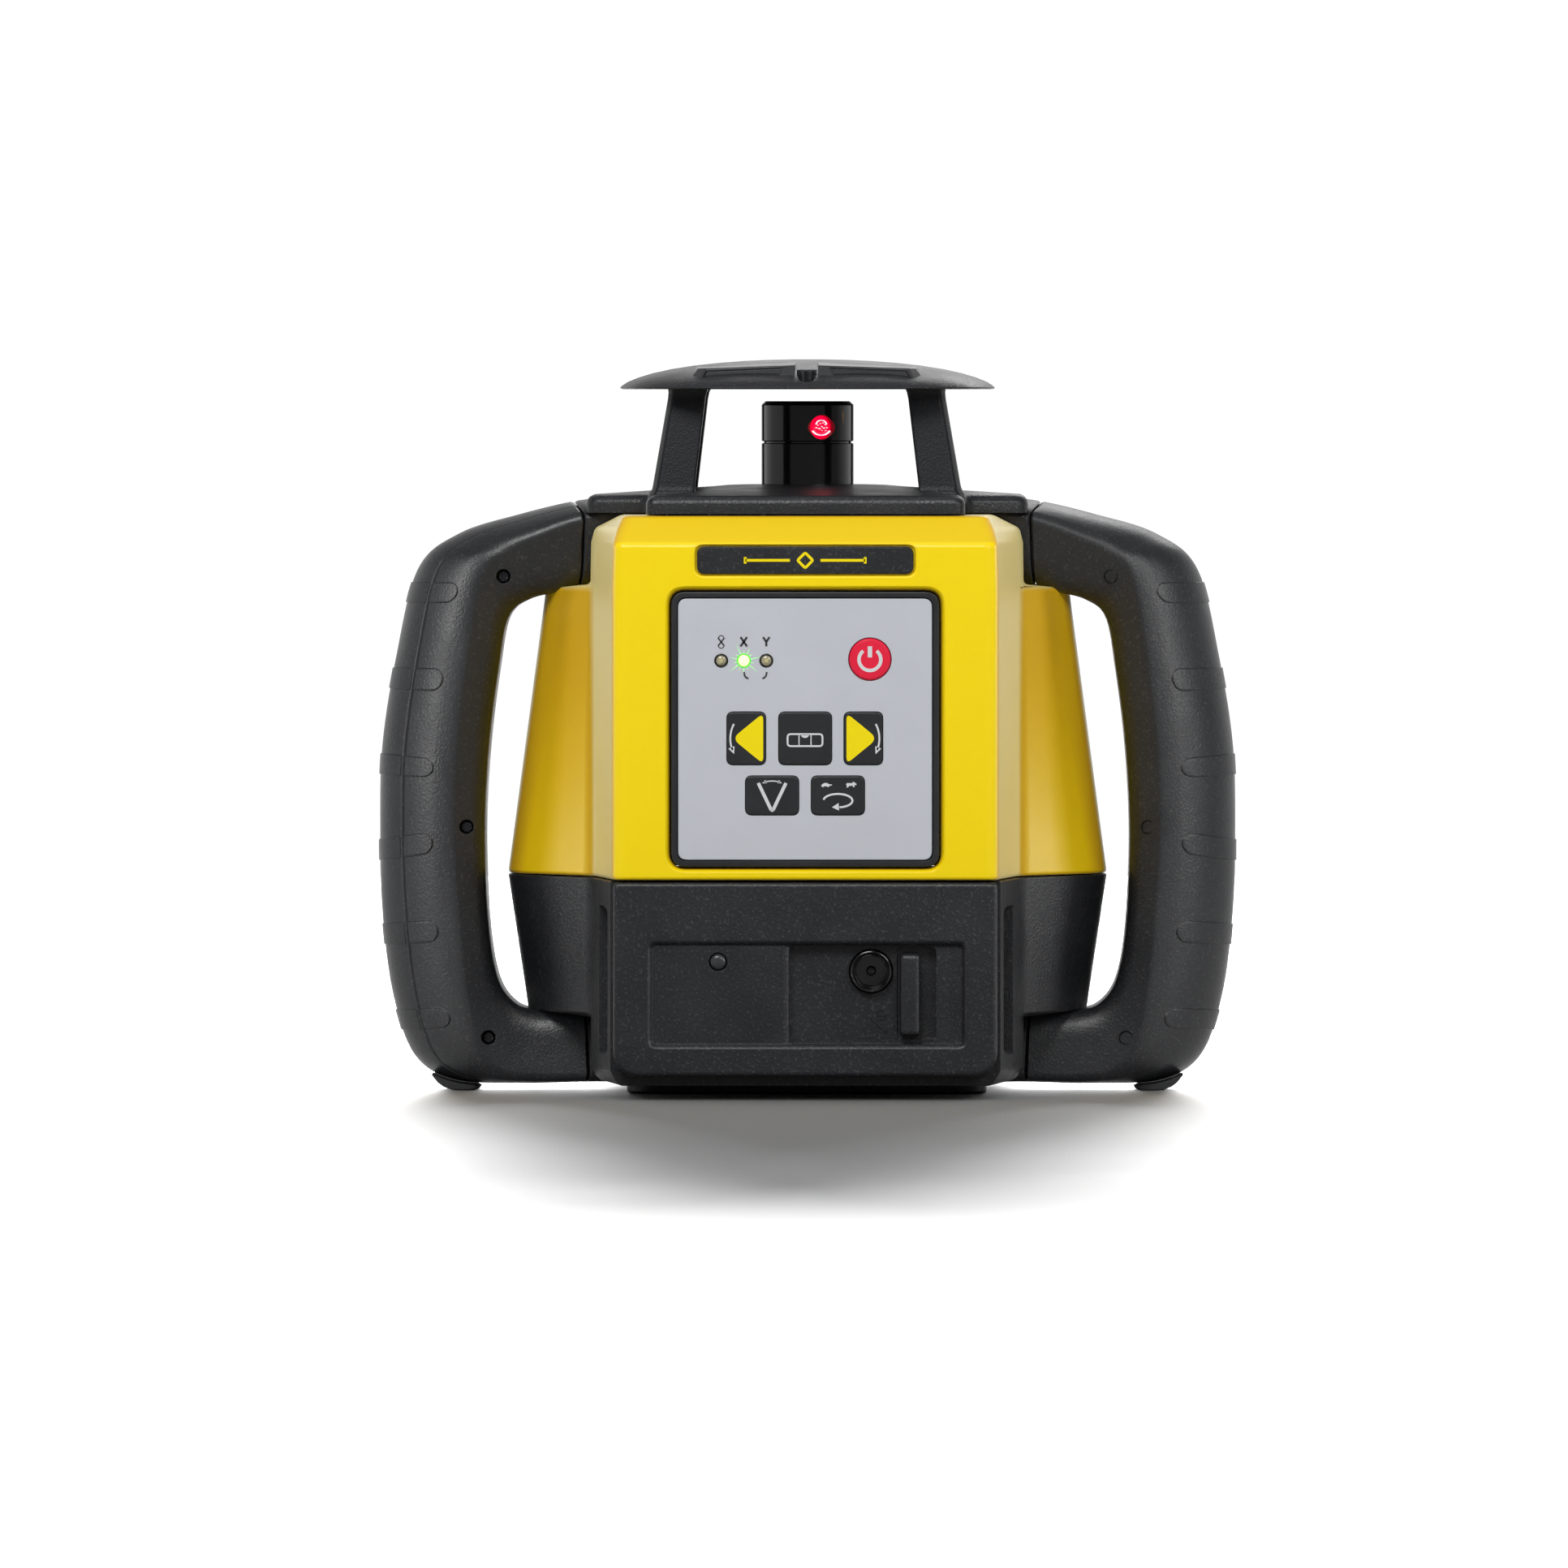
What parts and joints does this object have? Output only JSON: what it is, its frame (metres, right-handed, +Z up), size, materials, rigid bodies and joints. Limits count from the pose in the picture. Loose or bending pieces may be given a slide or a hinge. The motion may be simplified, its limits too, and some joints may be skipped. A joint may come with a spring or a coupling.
{
  "type": "rotating laser level",
  "caption": "Self-levelling rotating laser level with a yellow housing, black carrying handles, a front keypad, a slide-out battery pack and a spinning head under a four-post cage",
  "frame": {"origin": "centre of the footprint on the ground plane under the base", "axes": "+X across the keypad to its right, +Y from the keypad to the back, +Z up"},
  "size_m": [0.239, 0.19, 0.204],
  "materials": {
    "black_base": "moulded, fine grain",
    "yellow_upper": "satin moulded",
    "black_bay": "moulded",
    "black_battery": "moulded, fine grain",
    "black_battery_lid": "moulded",
    "black_latch": "moulded",
    "black_cap": "moulded, fine grain",
    "black_deck": "moulded, fine grain",
    "black_plate": "grained",
    "black_bezel": "smooth",
    "black_rotor": "polished",
    "black_sleeve": "polished",
    "black_jack": "moulded",
    "grey_overlay": "printed film",
    "black_key": "printed film",
    "red_key": "satin",
    "handle_main": "moulded, fine grain",
    "handle_cover": "moulded, fine grain",
    "rubber_foot": "matt",
    "rubber_seal": "matt",
    "led_power": "translucent",
    "led_axis_x": "translucent",
    "led_axis_y": "translucent",
    "led_charge": "translucent",
    "beam_window": "coated",
    "lens_glass": "polished",
    "prism_glass": "polished",
    "brass_diode": "turned",
    "brass_insert": "turned",
    "cast_chassis": "die cast",
    "cast_ring": "die cast",
    "alloy_barrel": "turned",
    "motor_can": "drawn",
    "steel_rod": "ground",
    "steel_spindle": "ground",
    "steel_bearing": "ground",
    "steel_screw": "black oxide",
    "stator_core": "wound",
    "board_keys": "solder mask",
    "board_main": "solder mask",
    "cell_sleeve": "shrink sleeve"
  },
  "bodies": {
    "housing": {"base_plate": "black_base", "base_shell": "black_base", "battery_bay": "black_bay", "cage_cap": "black_cap", "chassis": "cast_chassis", "handle_left_foot": "rubber_foot", "handle_left_front_shell": "handle_cover", "handle_left_rear_shell": "handle_main", "handle_left_screw_1": "steel_screw", "handle_left_screw_2": "steel_screw", "handle_left_screw_3": "steel_screw", "handle_right_foot": "rubber_foot", "handle_right_front_shell": "handle_main", "handle_right_rear_shell": "handle_cover", "handle_right_screw_1": "steel_screw", "handle_right_screw_2": "steel_screw", "handle_right_screw_3": "steel_screw", "housing_seal": "rubber_seal", "key_board": "board_keys", "levelling_motor_x": "motor_can", "levelling_motor_y": "motor_can", "main_board": "board_main", "nameplate": "black_plate", "panel_bezel": "black_bezel", "panel_overlay": "grey_overlay", "power_led": "led_power", "top_cover": "black_deck", "tripod_insert": "brass_insert", "upper_housing": "yellow_upper", "x_axis_led": "led_axis_x", "y_axis_led": "led_axis_y"},
    "tilt_ring": {"gimbal_ring": "cast_ring"},
    "laser_unit": {"laser_barrel": "alloy_barrel", "turret_sleeve": "black_sleeve", "motor_stator": "stator_core", "spindle_bearing": "steel_bearing", "diode_module": "brass_diode", "collimator_lens": "lens_glass"},
    "rotor": {"rotor_head": "black_rotor", "rotor_window": "beam_window", "penta_prism": "prism_glass", "spindle": "steel_spindle"},
    "rod_x": {"push_rod_x": "steel_rod"},
    "rod_y": {"push_rod_y": "steel_rod"},
    "battery": {"battery_case": "black_battery", "battery_lid": "black_battery_lid", "charge_jack": "black_jack", "charge_led": "led_charge", "battery_cell_1": "cell_sleeve", "battery_cell_2": "cell_sleeve", "battery_cell_3": "cell_sleeve", "battery_cell_4": "cell_sleeve"},
    "latch": {"battery_latch": "black_latch"},
    "power_key": {"power_button": "red_key"},
    "left_key": {"left_button": "black_key"},
    "level_key": {"level_button": "black_key"},
    "right_key": {"right_button": "black_key"},
    "scan_key": {"scan_button": "black_key"},
    "speed_key": {"speed_button": "black_key"}
  },
  "joints": [
    {"name": "tilt_x", "type": "hinge", "parent": "housing", "child": "tilt_ring", "pos_m": [0, 0, 0.15], "axis": [1, 0, 0], "range_deg": [-5, 5]},
    {"name": "tilt_y", "type": "hinge", "parent": "tilt_ring", "child": "laser_unit", "pos_m": [0, 0, 0.15], "axis": [0, 1, 0], "range_deg": [-5, 5]},
    {"name": "rotor_spin", "type": "hinge", "parent": "laser_unit", "child": "rotor", "pos_m": [0, 0, 0.1866], "axis": [0, 0, 1], "continuous": true},
    {"name": "rod_x_slide", "type": "slide", "parent": "housing", "child": "rod_x", "axis": [1, 0, 0], "range_m": [-0.0055, 0.0055]},
    {"name": "rod_y_slide", "type": "slide", "parent": "housing", "child": "rod_y", "axis": [0, 1, 0], "range_m": [-0.0055, 0.0055]},
    {"name": "battery_slide", "type": "slide", "parent": "housing", "child": "battery", "axis": [0, -1, 0], "range_m": [0, 0.09]},
    {"name": "latch_slide", "type": "slide", "parent": "battery", "child": "latch", "axis": [1, 0, 0], "range_m": [0, 0.003]},
    {"name": "power_press", "type": "slide", "parent": "housing", "child": "power_key", "axis": [0, 1, 0], "range_m": [0, 0.0008], "stiffness_N_per_m": 400, "springref_m": -0.0005},
    {"name": "left_press", "type": "slide", "parent": "housing", "child": "left_key", "axis": [0, 1, 0], "range_m": [0, 0.0008], "stiffness_N_per_m": 400, "springref_m": -0.0005},
    {"name": "level_press", "type": "slide", "parent": "housing", "child": "level_key", "axis": [0, 1, 0], "range_m": [0, 0.0008], "stiffness_N_per_m": 400, "springref_m": -0.0005},
    {"name": "right_press", "type": "slide", "parent": "housing", "child": "right_key", "axis": [0, 1, 0], "range_m": [0, 0.0008], "stiffness_N_per_m": 400, "springref_m": -0.0005},
    {"name": "scan_press", "type": "slide", "parent": "housing", "child": "scan_key", "axis": [0, 1, 0], "range_m": [0, 0.0008], "stiffness_N_per_m": 400, "springref_m": -0.0005},
    {"name": "speed_press", "type": "slide", "parent": "housing", "child": "speed_key", "axis": [0, 1, 0], "range_m": [0, 0.0008], "stiffness_N_per_m": 400, "springref_m": -0.0005}
  ],
  "couplings": [
    {"joint": "rod_x_slide", "follows": "tilt_y", "m_per_rad": -0.061},
    {"joint": "rod_y_slide", "follows": "tilt_x", "m_per_rad": 0.061}
  ]
}
